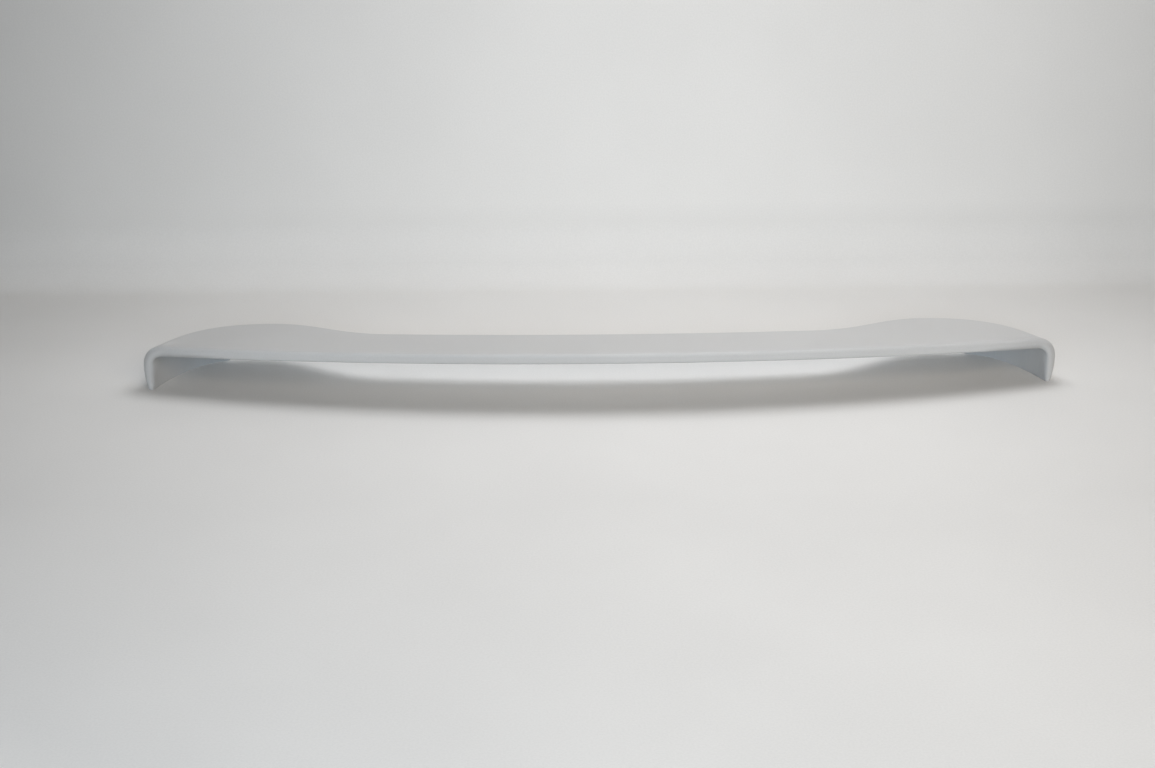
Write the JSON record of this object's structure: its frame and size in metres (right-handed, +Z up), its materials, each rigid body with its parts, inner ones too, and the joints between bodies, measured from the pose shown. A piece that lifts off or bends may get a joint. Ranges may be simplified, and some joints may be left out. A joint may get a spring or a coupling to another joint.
{
  "type": "car spoiler",
  "caption": "Moulded boot-lid wing spoiler: long, gently arched blade with a turned-down rear lip, flowing at its ends into hollow rounded feet that bond to the lid.",
  "frame": {"origin": "on the plane that the rims of the feet stand on, midway along the span and the depth", "axes": "+X along the span to the right as seen from behind the car, +Y towards the front of the car, +Z up"},
  "size_m": [1.2412, 0.2112, 0.0765],
  "materials": {
    "primer": "light grey primer, satin"
  },
  "bodies": {
    "root": {"spoiler_shell": "primer"}
  },
  "joints": []
}
